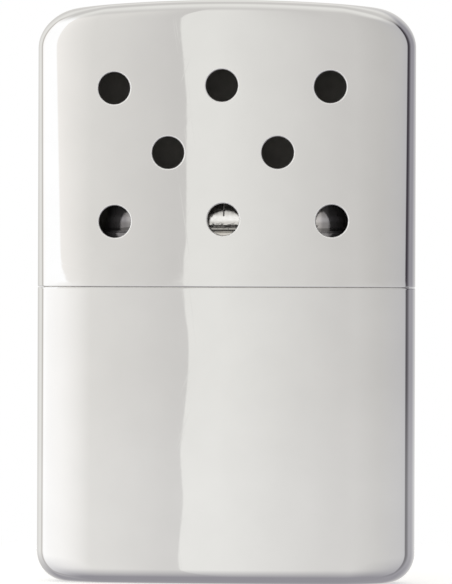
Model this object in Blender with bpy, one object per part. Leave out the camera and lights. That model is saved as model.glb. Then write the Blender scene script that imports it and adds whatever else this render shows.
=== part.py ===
"""Catalytic hand warmer: a drawn metal case in two halves, with its burner.

The lower half is the fuel tank, filled with cotton wadding and closed by a collar
with a filler neck. The burner plugs onto the neck, and the vented cover slides over
the collar. Metres, +Z up, the front faces -Y, the origin is the middle of the base.
"""
import math

import bmesh
import bpy
from mathutils import Matrix, Vector

# Case: section, ends and walls
CASE_WIDTH = 0.0500
CASE_HEIGHT = 0.0766
CASE_DEPTH = 0.0127
CASE_WALL = 0.0005
SIDE_RADIUS_SHARE = 0.33
SIDE_RADIUS = CASE_DEPTH * SIDE_RADIUS_SHARE
SHOULDER_RADIUS_SHARE = 0.945
SHOULDER_RADIUS = CASE_DEPTH * SHOULDER_RADIUS_SHARE
SHOULDER_ANGLE = math.radians(35)
BASE_CORNER_RADIUS = 0.0040
BASE_ROLL_RADIUS = 0.0020
TOP_CORNER_RADIUS = 0.0052
TOP_ROLL_RADIUS = 0.0020
CROWN_RISE = 0.0009

# Seam between the tank and the cover
COVER_HEIGHT = 0.0378
SEAM_HEIGHT = CASE_HEIGHT - COVER_HEIGHT
SEAM_GAP = 0.0002
RIM_ROUND = 0.00012

# Vents in the front of the cover: rows of three, two and three
VENT_DIAMETER = 0.0042
VENT_LIP_RADIUS = 0.00020
VENT_LIP_SLOPE = math.radians(30)
VENT_COLUMN_PITCH = 0.00717
VENT_ROW_PITCH = 0.00877
VENT_FIRST_ROW_ABOVE_SEAM = 0.0088
VENT_COLUMNS_BY_ROW = ((-2, 0, 2), (-1, 1), (-2, 0, 2))

# Collar that closes the tank and guides the cover
COLLAR_WALL = 0.0005
COLLAR_FIT = 0.0003
COLLAR_HEIGHT = 0.0036
COLLAR_FOOT_BELOW_SEAM = 0.0030
COLLAR_ROLL_RADIUS = 0.0012

# Skirt of the burner, which stands on the collar's deck
SKIRT_WALL = 0.00035
SKIRT_FIT = 0.0002
SKIRT_SEAT_GAP = 0.0003
SKIRT_TOP_ABOVE_SEAM = 0.0075
SKIRT_BEAD = 0.00025
SKIRT_TO_COVER = 0.00085

# Hood of the burner, its long windows and its slits
HOOD_WIDTH = 0.0320
HOOD_DEPTH = CASE_DEPTH - 2 * (CASE_WALL + SKIRT_TO_COVER + SKIRT_BEAD + SKIRT_WALL + SKIRT_FIT)
HOOD_WALL = 0.00035
HOOD_ROOF_RADIUS = 0.0038
HOOD_ROOF_ABOVE_SEAM = 0.0140
HOOD_NECK_FIT = 0.0003
HOOD_RIM_ABOVE_SKIRT_FOOT = 0.0007
WINDOW_LENGTH = 0.0247
WINDOW_HEIGHT = 0.0013
WINDOW_ABOVE_SKIRT_TOP = 0.0008
SLIT_WIDTH = 0.0003
SLIT_COUNT = 3
SLIT_PITCH = 0.0064
SLIT_FOOT_ABOVE_SKIRT_TOP = 0.0019

# Filler neck, which the hood fits over
NECK_HEIGHT = 0.0028
NECK_FOOT_BELOW_SEAM = 0.0052
NECK_WALL = 0.0004
NECK_DECK_FIT = 0.0003
NECK_FLANGE_WIDTH = 0.0007
NECK_FLANGE_THICKNESS = 0.0005
NECK_CHAMFER = 0.00015
NECK_WIDTH = HOOD_WIDTH - 2 * (HOOD_WALL + HOOD_NECK_FIT)
NECK_THICKNESS = HOOD_DEPTH - 2 * (HOOD_WALL + HOOD_NECK_FIT)

# Catalyst mat and the perforated tray under it
TRAY_THICKNESS = 0.0003
TRAY_GAP = 0.0003
TRAY_HOLE_DIAMETER = 0.0016
TRAY_HOLE_PITCH = 0.0028
TRAY_HOLE_COUNT = 9
TRAY_ROW_PITCH = 0.0024
TRAY_ROW_COUNT = 2
MAT_GAP = 0.0003
MAT_EDGE_ROUND = 0.0006

# Felt in the neck, and the wadding in the tank
FELT_GAP = 0.0003
FELT_ABOVE_SEAM = 0.0020
FELT_BELOW_NECK = 0.0004
FELT_EDGE_ROUND = 0.0005
WAD_GAP = 0.0004
WAD_MIDDLE_THICKNESS = 0.0032
WAD_EDGE_ROUND = 0.0012

# Centres of the section's arcs, and the bowed face that runs tangent into both shoulders
SIDE_X = CASE_WIDTH / 2 - SIDE_RADIUS
SHOULDER_X = SIDE_X - (SHOULDER_RADIUS - SIDE_RADIUS) * math.sin(SHOULDER_ANGLE)
SHOULDER_Y = -(SHOULDER_RADIUS - SIDE_RADIUS) * math.cos(SHOULDER_ANGLE)
FACE_ANGLE = 2 * math.atan((CASE_DEPTH / 2 - SHOULDER_RADIUS - SHOULDER_Y) / SHOULDER_X)
FACE_RADIUS = SHOULDER_X / math.sin(FACE_ANGLE) + SHOULDER_RADIUS
FACE_Y = CASE_DEPTH / 2 - FACE_RADIUS

# Cuts run this far past the metal they pierce
OVERRUN = 0.0010

# Facets, and the angle over which an edge is shaded sharp
SHARP_ANGLE = math.radians(30)
SIDE_ARC_STEPS = 5
SHOULDER_ARC_STEPS = 3
FACE_ARC_STEPS = 4
CORNER_STEPS = 8
ROLL_STEPS = 4
ROOF_STEPS = 6
STADIUM_ARC_STEPS = 8
VENT_SIDES = 32
LIP_STEPS = 2
HOLE_SIDES = 12


def make_material(name, colour, roughness, metallic):
    material = bpy.data.materials.new(name)
    material.use_nodes = True
    shader = material.node_tree.nodes["Principled BSDF"]
    shader.inputs["Base Color"].default_value = (*colour, 1.0)
    shader.inputs["Roughness"].default_value = roughness
    shader.inputs["Metallic"].default_value = metallic
    return material


def chrome_plate():
    return make_material("chrome_plate", (0.78, 0.78, 0.79), 0.08, 1.0)


def burner_metal():
    return make_material("burner_metal", (0.62, 0.61, 0.60), 0.22, 1.0)


def cotton():
    return make_material("cotton", (0.86, 0.83, 0.77), 0.95, 0.0)


def felt():
    return make_material("felt", (0.72, 0.68, 0.60), 0.95, 0.0)


def catalyst_fibre():
    return make_material("catalyst_fibre", (0.42, 0.42, 0.44), 0.90, 0.0)


def mirror_loop(quarter):
    """A closed loop, anticlockwise from +X, from one quarter that runs from +X to +Y."""
    back_left = [(-x, y) for x, y in reversed(quarter[:-1])]
    front_left = [(-x, -y) for x, y in quarter[1:]]
    front_right = [(x, -y) for x, y in reversed(quarter[1:-1])]
    return quarter + back_left + front_left + front_right


def arc_points(centre_x, centre_y, radius, start, end, steps):
    """Points on an arc, by the angle that its normal makes with +Y."""
    points = []
    for step in range(steps + 1):
        angle = start + (end - start) * step / steps
        points.append((centre_x + radius * math.sin(angle), centre_y + radius * math.cos(angle)))
    return points


def section_quarter(inset):
    """A quarter of the case's cross-section, moved in by inset: side, shoulder and face arcs."""
    quarter = arc_points(SIDE_X, 0, SIDE_RADIUS - inset, math.pi / 2, SHOULDER_ANGLE, SIDE_ARC_STEPS)
    quarter += arc_points(SHOULDER_X, SHOULDER_Y, SHOULDER_RADIUS - inset,
                          SHOULDER_ANGLE, FACE_ANGLE, SHOULDER_ARC_STEPS)[1:]
    quarter += arc_points(0, FACE_Y, FACE_RADIUS - inset, FACE_ANGLE, 0, FACE_ARC_STEPS)[1:]
    quarter[0] = (CASE_WIDTH / 2 - inset, 0.0)
    quarter[-1] = (0.0, CASE_DEPTH / 2 - inset)
    return quarter


def case_section(inset):
    return mirror_loop(section_quarter(inset))


def end_levels(corner, roll, steps):
    """Levels of a rolled end as (distance from the end, inset of the width, inset of the depth)."""
    levels = []
    for step in range(steps + 1):
        angle = math.pi / 2 * step / steps
        distance = corner * (1 - math.cos(angle))
        rest = max(roll - distance, 0)
        levels.append((distance, corner * (1 - math.sin(angle)), roll - math.sqrt(roll ** 2 - rest ** 2)))
    return levels


def case_loop(inset, height, width_inset, depth_inset, crown=0.0):
    """One loop of the case at a height; crown is how much of the top's rise it takes."""
    width = CASE_WIDTH / 2 - inset
    depth = CASE_DEPTH / 2 - inset
    shoulder = CASE_WIDTH / 2 - TOP_CORNER_RADIUS
    loop = []
    for x, y in case_section(inset):
        x *= (width - width_inset) / width
        y *= (depth - depth_inset) / depth
        rise = CROWN_RISE * crown * (1 - (x / shoulder) ** 2)
        loop.append((x, y, height + rise))
    return loop


def base_loops(inset):
    """Loops of the tank's closed end, from the base up."""
    corner = BASE_CORNER_RADIUS - inset
    roll = BASE_ROLL_RADIUS - inset
    return [case_loop(inset, inset + distance, width_inset, depth_inset)
            for distance, width_inset, depth_inset in end_levels(corner, roll, CORNER_STEPS)]


def top_loops(inset):
    """Loops of the cover's closed and crowned end, from the top down."""
    corner = TOP_CORNER_RADIUS - inset
    roll = TOP_ROLL_RADIUS - inset
    top = CASE_HEIGHT - CROWN_RISE - inset
    return [case_loop(inset, top - distance, width_inset, depth_inset, 1 - distance / corner)
            for distance, width_inset, depth_inset in end_levels(corner, roll, CORNER_STEPS)]


def stadium_loop(width, depth, height):
    """A flat loop with straight sides and round ends."""
    radius = depth / 2
    straight = width / 2 - radius
    quarter = arc_points(straight, 0, radius, math.pi / 2, 0, STADIUM_ARC_STEPS)
    quarter[0] = (width / 2, 0.0)
    quarter.append((0.0, radius))
    return [(x, y, height) for x, y in mirror_loop(quarter)]


def ladder_cap(mesh, loop):
    """Close a loop whose front and back halves mirror each other."""
    count = len(loop)
    for step in range(count // 2):
        corners = [loop[step], loop[step + 1], loop[(count - step - 1) % count], loop[(count - step) % count]]
        unlike = []
        for corner in corners:
            if corner not in unlike:
                unlike.append(corner)
        mesh.faces.new(unlike)


def add_object(name, mesh, material):
    """Finish a bmesh as an object shaded smooth but for its sharp edges."""
    bmesh.ops.recalc_face_normals(mesh, faces=mesh.faces)
    data = bpy.data.meshes.new(name)
    mesh.to_mesh(data)
    mesh.free()
    data.shade_smooth()
    data.set_sharp_from_angle(angle=SHARP_ANGLE)
    if material:
        data.materials.append(material)
    piece = bpy.data.objects.new(name, data)
    bpy.context.collection.objects.link(piece)
    return piece


def loft(name, loops, material, ends="flat"):
    """Join loops of equal count. Ends are flat, or a ladder over a bowed end, or join as a ring."""
    mesh = bmesh.new()
    rows = [[mesh.verts.new(point) for point in loop] for loop in loops]
    pairs = list(zip(rows, rows[1:]))
    if ends == "ring":
        pairs.append((rows[-1], rows[0]))
    for lower, upper in pairs:
        count = len(lower)
        for step in range(count):
            following = (step + 1) % count
            mesh.faces.new((lower[step], lower[following], upper[following], upper[step]))
    if ends == "ladder":
        ladder_cap(mesh, rows[0])
        ladder_cap(mesh, rows[-1])
    elif ends == "flat":
        mesh.faces.new(rows[0])
        mesh.faces.new(rows[-1])
    return add_object(name, mesh, material)


def mark_cutter(cutter):
    cutter.hide_render = True
    cutter.display_type = "WIRE"


def cut(piece, cutter):
    modifier = piece.modifiers.new(cutter.name, "BOOLEAN")
    modifier.operation = "DIFFERENCE"
    modifier.solver = "EXACT"
    modifier.object = cutter
    mark_cutter(cutter)


def add_turned_tool(mesh, profile, sides, placement):
    """A turned solid along Z, from (radius, height) points, moved to its placement."""
    rows = []
    for radius, height in profile:
        row = []
        for side in range(sides):
            angle = 2 * math.pi * side / sides
            point = Vector((radius * math.cos(angle), radius * math.sin(angle), height))
            row.append(mesh.verts.new(placement @ point))
        rows.append(row)
    for lower, upper in zip(rows, rows[1:]):
        for side in range(sides):
            following = (side + 1) % sides
            mesh.faces.new((lower[side], lower[following], upper[following], upper[side]))
    mesh.faces.new(rows[0])
    mesh.faces.new(rows[-1])


def slot_prism(name, length, height, centre_height, reach):
    """A cutter along Y, from -reach to reach, whose outline is a slot with round ends."""
    outline = [(x, z) for x, z, _ in stadium_loop(length, height, 0)]
    front = [(x, -reach, centre_height + z) for x, z in outline]
    back = [(x, reach, centre_height + z) for x, z in outline]
    return loft(name, [front, back], None)


def block(name, width, depth, bottom, top, places):
    """Upright cutters of one size, side by side along X."""
    mesh = bmesh.new()
    for place in places:
        corners = bmesh.ops.create_cube(mesh, size=1.0)["verts"]
        bmesh.ops.scale(mesh, vec=(width, depth, top - bottom), verts=corners)
        bmesh.ops.translate(mesh, vec=(place, 0, (bottom + top) / 2), verts=corners)
    return add_object(name, mesh, None)


def centred(count, pitch):
    return [(index - (count - 1) / 2) * pitch for index in range(count)]


def tank_shell(metal):
    rim = SEAM_HEIGHT
    loops = base_loops(0)
    loops.append(case_loop(0, rim - RIM_ROUND, 0, 0))
    loops.append(case_loop(0, rim, RIM_ROUND, RIM_ROUND))
    loops.append(case_loop(CASE_WALL, rim, 0, 0))
    loops += reversed(base_loops(CASE_WALL))
    return loft("tank_shell", loops, metal, "ladder")


def vent_centres():
    centres = []
    for row, columns in enumerate(VENT_COLUMNS_BY_ROW):
        height = SEAM_HEIGHT + VENT_FIRST_ROW_ABOVE_SEAM + row * VENT_ROW_PITCH
        centres += [(column * VENT_COLUMN_PITCH, height) for column in columns]
    return centres


def vent_cutter():
    """Round tools that pierce the front square to its bow and leave a rounded lip."""
    radius = VENT_DIAMETER / 2
    profile = [(radius, -(CASE_WALL + OVERRUN))]
    for step in range(LIP_STEPS + 1):
        angle = math.pi / 2 + (VENT_LIP_SLOPE - math.pi / 2) * step / LIP_STEPS
        lip = VENT_LIP_RADIUS * (1 - math.sin(angle))
        profile.append((radius + lip, -VENT_LIP_RADIUS * (1 - math.cos(angle))))
    lip_radius, lip_height = profile[-1]
    profile.append((lip_radius + OVERRUN / math.tan(VENT_LIP_SLOPE), lip_height + OVERRUN))
    mesh = bmesh.new()
    for x, z in vent_centres():
        tilt = math.asin(x / FACE_RADIUS)
        y = -(FACE_Y + FACE_RADIUS * math.cos(tilt))
        turn = Matrix.Rotation(tilt, 4, "Z") @ Matrix.Rotation(math.pi / 2, 4, "X")
        add_turned_tool(mesh, profile, VENT_SIDES, Matrix.Translation((x, y, z)) @ turn)
    return add_object("vent_cutter", mesh, None)


def cover_shell(metal):
    rim = SEAM_HEIGHT + SEAM_GAP
    loops = top_loops(0)
    loops.append(case_loop(0, rim + RIM_ROUND, 0, 0))
    loops.append(case_loop(0, rim, RIM_ROUND, RIM_ROUND))
    loops.append(case_loop(CASE_WALL, rim, 0, 0))
    loops += reversed(top_loops(CASE_WALL))
    shell = loft("cover_shell", loops, metal, "ladder")
    cut(shell, vent_cutter())
    return shell


def collar_loops(inset, top):
    """Loops of the collar's rolled top, from the deck down."""
    roll = COLLAR_ROLL_RADIUS - (inset - CASE_WALL - COLLAR_FIT)
    return [case_loop(inset, top - distance, width_inset, depth_inset)
            for distance, width_inset, depth_inset in end_levels(roll, roll, ROLL_STEPS)]


def tank_collar(metal):
    outer = CASE_WALL + COLLAR_FIT
    inner = outer + COLLAR_WALL
    deck = SEAM_HEIGHT + COLLAR_HEIGHT
    foot = SEAM_HEIGHT - COLLAR_FOOT_BELOW_SEAM
    loops = collar_loops(outer, deck)
    loops.append(case_loop(outer, foot, 0, 0))
    loops.append(case_loop(inner, foot, 0, 0))
    loops += reversed(collar_loops(inner, deck - COLLAR_WALL))
    collar = loft("tank_collar", loops, metal)
    width = NECK_WIDTH + 2 * NECK_DECK_FIT
    depth = NECK_THICKNESS + 2 * NECK_DECK_FIT
    heights = (deck - COLLAR_WALL - OVERRUN, deck + OVERRUN)
    cut(collar, loft("deck_cutter", [stadium_loop(width, depth, height) for height in heights], None))
    return collar


def profile_ring(name, width, depth, profile, metal):
    """A stadium-shaped ring whose wall follows profile, as (outset, height) points in turn."""
    loops = [stadium_loop(width + 2 * outset, depth + 2 * outset, height) for outset, height in profile]
    return loft(name, loops, metal, "ring")


def filler_neck(metal):
    deck_underside = SEAM_HEIGHT + COLLAR_HEIGHT - COLLAR_WALL
    top = SEAM_HEIGHT + COLLAR_HEIGHT + NECK_HEIGHT
    flange_top = deck_underside - NECK_DECK_FIT
    flange_foot = flange_top - NECK_FLANGE_THICKNESS
    foot = SEAM_HEIGHT - NECK_FOOT_BELOW_SEAM
    profile = [(-NECK_WALL, foot), (-NECK_WALL, top), (-NECK_CHAMFER, top), (0, top - NECK_CHAMFER),
               (0, flange_top), (NECK_FLANGE_WIDTH, flange_top), (NECK_FLANGE_WIDTH, flange_foot),
               (0, flange_foot), (0, foot)]
    return profile_ring("filler_neck", NECK_WIDTH, NECK_THICKNESS, profile, metal)


def solid_stadium(name, width, depth, foot, roof, material):
    """A soft block with straight sides and round ends; foot and roof are (height, edge radius)."""
    bottom, low_edge = foot
    top, high_edge = roof
    loops = []
    for distance, inset, _ in end_levels(low_edge, low_edge, ROLL_STEPS):
        loops.append(stadium_loop(width - 2 * inset, depth - 2 * inset, bottom + distance))
    for distance, inset, _ in reversed(end_levels(high_edge, high_edge, ROOF_STEPS)):
        loops.append(stadium_loop(width - 2 * inset, depth - 2 * inset, top - distance))
    return loft(name, loops, material)


def wick_felt(material):
    width = NECK_WIDTH - 2 * (NECK_WALL + FELT_GAP)
    depth = NECK_THICKNESS - 2 * (NECK_WALL + FELT_GAP)
    bottom = SEAM_HEIGHT - NECK_FOOT_BELOW_SEAM - FELT_BELOW_NECK
    top = SEAM_HEIGHT + FELT_ABOVE_SEAM
    ends = ((bottom, FELT_EDGE_ROUND), (top, FELT_EDGE_ROUND))
    return solid_stadium("wick_felt", width, depth, *ends, material)


def width_at(quarter, depth):
    """Half the width of a section at a depth, read between the quarter's points."""
    for (x, y), (next_x, next_y) in zip(quarter, quarter[1:]):
        if y <= depth <= next_y:
            return x + (next_x - x) * (depth - y) / (next_y - y)
    return 0.0


def wad_outline(low, high):
    """The part of the tank's inner section that lies between two depths, low and high."""
    quarter = section_quarter(CASE_WALL + WAD_GAP)
    right = [(x, y) for x, y in mirror_loop(quarter) if x > 0 and low < y < high]
    right += [(width_at(quarter, abs(limit)), limit) for limit in (low, high)]
    right.sort(key=lambda point: point[1])
    return right + [(-x, y) for x, y in reversed(right) if x > 0]


def wad_levels():
    """Levels of the wadding as (height, inset of the width, inset of the depth), from the base up."""
    inset = CASE_WALL + WAD_GAP
    top = SEAM_HEIGHT - NECK_FOOT_BELOW_SEAM - FELT_BELOW_NECK - WAD_GAP
    base_ends = end_levels(BASE_CORNER_RADIUS - inset, BASE_ROLL_RADIUS - inset, CORNER_STEPS)
    top_ends = end_levels(WAD_EDGE_ROUND, WAD_EDGE_ROUND, ROLL_STEPS)
    levels = [(inset + distance, narrower, thinner) for distance, narrower, thinner in base_ends]
    levels += [(top - distance, narrower, thinner) for distance, narrower, thinner in reversed(top_ends)]
    return levels


def wad(name, low, high, side, material):
    """A layer of wadding between two depths that narrows with the tank; side is 1 or -1."""
    width = CASE_WIDTH / 2 - CASE_WALL - WAD_GAP
    depth = CASE_DEPTH / 2 - CASE_WALL - WAD_GAP
    outline = wad_outline(low, high)
    loops = []
    for height, narrower, thinner in wad_levels():
        width_share = (width - narrower) / width
        depth_share = (depth - thinner) / depth
        loops.append([(x * width_share, side * y * depth_share, height) for x, y in outline])
    return loft(name, loops, material)


def wadding(material):
    """Three layers of wadding that fill the tank from front to back."""
    half = WAD_MIDDLE_THICKNESS / 2
    face = half + WAD_GAP
    outside = section_quarter(CASE_WALL + WAD_GAP)[-1][1]
    wad("wadding_front", face, outside, -1, material)
    wad("wadding_middle", -half, half, 1, material)
    wad("wadding_back", face, outside, 1, material)


def skirt_foot():
    return SEAM_HEIGHT + COLLAR_HEIGHT + SKIRT_SEAT_GAP


def burner_skirt(metal):
    foot = skirt_foot()
    top = SEAM_HEIGHT + SKIRT_TOP_ABOVE_SEAM
    inner = SKIRT_FIT
    outer = SKIRT_FIT + SKIRT_WALL
    bead = outer + SKIRT_BEAD
    profile = [(inner, foot), (inner, top), (outer, top), (bead, top - SKIRT_BEAD),
               (outer, top - 2 * SKIRT_BEAD), (outer, foot + 2 * SKIRT_BEAD),
               (bead, foot + SKIRT_BEAD), (bead, foot)]
    return profile_ring("burner_skirt", HOOD_WIDTH, HOOD_DEPTH, profile, metal)


def hood_loops(inset, top):
    """Loops of the hood's rolled roof, from the roof down."""
    roll = HOOD_ROOF_RADIUS - inset
    loops = []
    for distance, edge, _ in end_levels(roll, roll, ROOF_STEPS):
        narrower = 2 * (inset + edge)
        loops.append(stadium_loop(HOOD_WIDTH - narrower, HOOD_DEPTH - narrower, top - distance))
    return loops


def burner_hood(metal):
    foot = skirt_foot() + HOOD_RIM_ABOVE_SKIRT_FOOT
    roof = SEAM_HEIGHT + HOOD_ROOF_ABOVE_SEAM
    skirt_top = SEAM_HEIGHT + SKIRT_TOP_ABOVE_SEAM
    loops = hood_loops(0, roof)
    loops.append(stadium_loop(HOOD_WIDTH, HOOD_DEPTH, foot))
    loops.append(stadium_loop(HOOD_WIDTH - 2 * HOOD_WALL, HOOD_DEPTH - 2 * HOOD_WALL, foot))
    loops += reversed(hood_loops(HOOD_WALL, roof - HOOD_WALL))
    hood = loft("burner_hood", loops, metal)
    reach = HOOD_DEPTH / 2 + OVERRUN
    window = skirt_top + WINDOW_ABOVE_SKIRT_TOP - WINDOW_HEIGHT / 2
    cut(hood, slot_prism("window_cutter", WINDOW_LENGTH, WINDOW_HEIGHT, window, reach))
    slit_foot = skirt_top + SLIT_FOOT_ABOVE_SKIRT_TOP
    places = centred(SLIT_COUNT, SLIT_PITCH)
    cut(hood, block("slit_cutter", SLIT_WIDTH, 2 * reach, slit_foot, roof + OVERRUN, places))
    return hood


def tray_bottom():
    return SEAM_HEIGHT + COLLAR_HEIGHT + NECK_HEIGHT + TRAY_GAP


def catalyst_tray(metal):
    width = HOOD_WIDTH - 2 * (HOOD_WALL + TRAY_GAP)
    depth = HOOD_DEPTH - 2 * (HOOD_WALL + TRAY_GAP)
    heights = (tray_bottom(), tray_bottom() + TRAY_THICKNESS)
    tray = loft("catalyst_tray", [stadium_loop(width, depth, height) for height in heights], metal)
    centres = [(x, y) for y in centred(TRAY_ROW_COUNT, TRAY_ROW_PITCH)
               for x in centred(TRAY_HOLE_COUNT, TRAY_HOLE_PITCH)]
    radius = TRAY_HOLE_DIAMETER / 2
    profile = [(radius, -OVERRUN), (radius, TRAY_THICKNESS + OVERRUN)]
    holes = bmesh.new()
    for x, y in centres:
        add_turned_tool(holes, profile, HOLE_SIDES, Matrix.Translation((x, y, tray_bottom())))
    cut(tray, add_object("tray_cutter", holes, None))
    return tray


def catalyst_mat(material):
    width = HOOD_WIDTH - 2 * (HOOD_WALL + MAT_GAP)
    depth = HOOD_DEPTH - 2 * (HOOD_WALL + MAT_GAP)
    bottom = tray_bottom() + TRAY_THICKNESS + MAT_GAP
    top = SEAM_HEIGHT + HOOD_ROOF_ABOVE_SEAM - HOOD_WALL - MAT_GAP
    roof_round = HOOD_ROOF_RADIUS - HOOD_WALL - MAT_GAP
    return solid_stadium("catalyst_mat", width, depth, (bottom, MAT_EDGE_ROUND), (top, roof_round), material)


def empty_at(name, height, pieces):
    """A guide on a lift's line that carries the pieces of one moving body."""
    guide = bpy.data.objects.new(name, None)
    guide.location = (0, 0, height)
    bpy.context.collection.objects.link(guide)
    for piece in pieces:
        piece.parent = guide
        piece.matrix_parent_inverse.translation = (0, 0, -height)


def build():
    for existing in list(bpy.data.objects):
        bpy.data.objects.remove(existing, do_unlink=True)
    chrome = chrome_plate()
    steel = burner_metal()
    tank_shell(chrome)
    tank_collar(chrome)
    filler_neck(chrome)
    wick_felt(felt())
    wadding(cotton())
    empty_at("cover_lift_line", SEAM_HEIGHT, [cover_shell(chrome)])
    burner = [burner_skirt(steel), burner_hood(steel), catalyst_tray(steel), catalyst_mat(catalyst_fibre())]
    empty_at("burner_lift_line", skirt_foot(), burner)


build()
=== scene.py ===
import functools
import math
import random

import bpy
import numpy as np
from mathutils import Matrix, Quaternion, Vector, noise


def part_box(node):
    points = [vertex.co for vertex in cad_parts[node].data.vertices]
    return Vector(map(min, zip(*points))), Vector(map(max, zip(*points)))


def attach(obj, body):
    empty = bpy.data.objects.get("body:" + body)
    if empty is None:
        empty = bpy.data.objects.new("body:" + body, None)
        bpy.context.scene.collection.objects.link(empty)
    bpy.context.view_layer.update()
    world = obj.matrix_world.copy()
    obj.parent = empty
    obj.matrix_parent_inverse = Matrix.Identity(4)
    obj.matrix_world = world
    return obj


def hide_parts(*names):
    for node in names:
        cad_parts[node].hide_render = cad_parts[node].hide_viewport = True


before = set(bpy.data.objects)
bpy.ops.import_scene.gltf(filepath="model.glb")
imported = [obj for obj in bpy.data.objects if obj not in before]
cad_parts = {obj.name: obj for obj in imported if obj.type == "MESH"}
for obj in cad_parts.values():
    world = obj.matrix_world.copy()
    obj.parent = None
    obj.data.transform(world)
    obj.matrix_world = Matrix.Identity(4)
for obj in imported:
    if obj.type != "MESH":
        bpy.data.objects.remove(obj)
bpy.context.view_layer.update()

MM = 0.001

# Sizes, in metres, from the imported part
COVER_LOW, COVER_HIGH = (Vector(corner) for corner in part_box("cover_shell"))
TANK_LOW, TANK_HIGH = (Vector(corner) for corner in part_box("tank_shell"))
HOOD_LOW, HOOD_HIGH = (Vector(corner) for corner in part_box("burner_hood"))
SKIRT_LOW, SKIRT_HIGH = (Vector(corner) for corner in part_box("burner_skirt"))
NECK_LOW, NECK_HIGH = (Vector(corner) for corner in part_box("filler_neck"))
TRAY_LOW, TRAY_HIGH = (Vector(corner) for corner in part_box("catalyst_tray"))
COLLAR_LOW, COLLAR_HIGH = (Vector(corner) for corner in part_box("tank_collar"))
HOOD_WIDTH = HOOD_HIGH.x - HOOD_LOW.x
HOOD_DEPTH = HOOD_HIGH.y - HOOD_LOW.y
HOOD_WALL = 0.35 * MM
HOOD_ROLL = 2.2 * MM
WINDOW_TO_END = 3.65 * MM
WINDOW_LENGTH = HOOD_WIDTH - 2 * WINDOW_TO_END
# The hood's face bows in from the top of the skirt and runs on as a slope
BOW = 12.5 * MM
BOW_FOOT = SKIRT_HIGH.z - 0.1 * MM
FACE_LEAN = math.radians(14)
NECK_FIT = 0.3 * MM
NECK_WIDTH = HOOD_WIDTH - 2 * (HOOD_WALL + NECK_FIT)
NECK_DEPTH = HOOD_DEPTH - 2 * (HOOD_WALL + NECK_FIT)

CASE_WIDTH = COVER_HIGH.x - COVER_LOW.x
CASE_DEPTH = COVER_HIGH.y - COVER_LOW.y
CASE_HEIGHT = COVER_HIGH.z
SEAM = TANK_HIGH.z
WALL = 0.5 * MM
# The rim of each half is rounded off over this height and this depth
RIM_HEIGHT = 0.20 * MM
RIM_DEPTH = 0.09 * MM
RIM_STEPS = 5
# The seam is drawn nearly shut: each rim reaches this share of the working gap into it
SEAM_SHARE = 0.35

# Section of the case: side, shoulder and bowed face, each tangent to the next
SIDE_RADIUS = CASE_DEPTH * 0.33
SHOULDER_RADIUS = CASE_DEPTH * 0.945
SHOULDER_ANGLE = math.radians(35)
SIDE_X = CASE_WIDTH / 2 - SIDE_RADIUS
SHOULDER_X = SIDE_X - (SHOULDER_RADIUS - SIDE_RADIUS) * math.sin(SHOULDER_ANGLE)
SHOULDER_Y = -(SHOULDER_RADIUS - SIDE_RADIUS) * math.cos(SHOULDER_ANGLE)
FACE_ANGLE = 2 * math.atan((CASE_DEPTH / 2 - SHOULDER_RADIUS - SHOULDER_Y) / SHOULDER_X)
FACE_RADIUS = SHOULDER_X / math.sin(FACE_ANGLE) + SHOULDER_RADIUS
FACE_Y = CASE_DEPTH / 2 - FACE_RADIUS

TOP_END = {"corner": 5.2 * MM, "roll": 2.0 * MM, "crown": 0.9 * MM}
BASE_END = {"corner": 4.0 * MM, "roll": 2.0 * MM, "crown": 0.0}

# Vents: a lattice of cells, with a vent in every other one
VENT_RADIUS = 2.1 * MM
VENT_LIP = 0.20 * MM
VENT_BURR = 0.05 * MM
LIP_STEPS = 6
CELL_WIDTH = 7.17 * MM
CELL_HEIGHT = 8.77 * MM
CELL_COLUMNS = 5
CELL_STEPS = 12
RING_SHARES = (0.35, 0.62, 0.82, 0.94)
FIRST_VENT_ROW = SEAM + 8.8 * MM
VENT_ROWS = ((-2, 0, 2), (-1, 1), (-2, 0, 2))
VENTS = [(column, row) for row, columns in enumerate(VENT_ROWS) for column in columns]
# How far each punched vent sits from its place in the lattice, in millimetres to the right and up
OFF_PLACE = {(-2, 2): (0.0, -0.19), (0, 2): (-0.13, 0.14), (2, 2): (-0.29, -0.02), (-1, 1): (0.0, 0.12),
             (1, 1): (0.04, 0.15), (-2, 0): (0.14, -0.13), (0, 0): (0.09, 0.15), (2, 0): (-0.05, 0.0)}

SEED = 11


# Colours and nodes

def srgb(hex_colour):
    """A written sRGB colour as the linear values that a shader takes."""
    values = [int(hex_colour[place:place + 2], 16) / 255 for place in (1, 3, 5)]
    linear = [value / 12.92 if value <= 0.04045 else ((value + 0.055) / 1.055) ** 2.4 for value in values]
    return (*linear, 1.0)


def feed(tree, node, inputs):
    """Set a node's sockets, each to a value or to the output that feeds it."""
    for socket, value in inputs.items():
        if isinstance(value, bpy.types.NodeSocket):
            tree.links.new(value, node.inputs[socket])
        else:
            node.inputs[socket].default_value = value


def add_node(tree, kind, inputs=(), stops=(), output=0, **settings):
    """Add a node with its settings, links and ramp stops, and return one output, or the node for None.

    The inputs are a dict by socket, or values in the order of the sockets.
    """
    node = tree.nodes.new(kind)
    for name, value in settings.items():
        setattr(node, name, value)
    feed(tree, node, inputs if isinstance(inputs, dict) else dict(enumerate(inputs)))
    if stops:
        elements = node.color_ramp.elements
        elements.remove(elements[-1])
        for place, (position, colour) in enumerate(stops):
            element = elements[0] if place == 0 else elements.new(position)
            element.position, element.color = position, srgb(colour)
    return node if output is None else node.outputs[output]


def as_shares(stops, low, high):
    """Stops placed by a measure that runs from low to high, as shares of that run."""
    return [((place - low) / (high - low), colour) for place, colour in stops]


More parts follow.
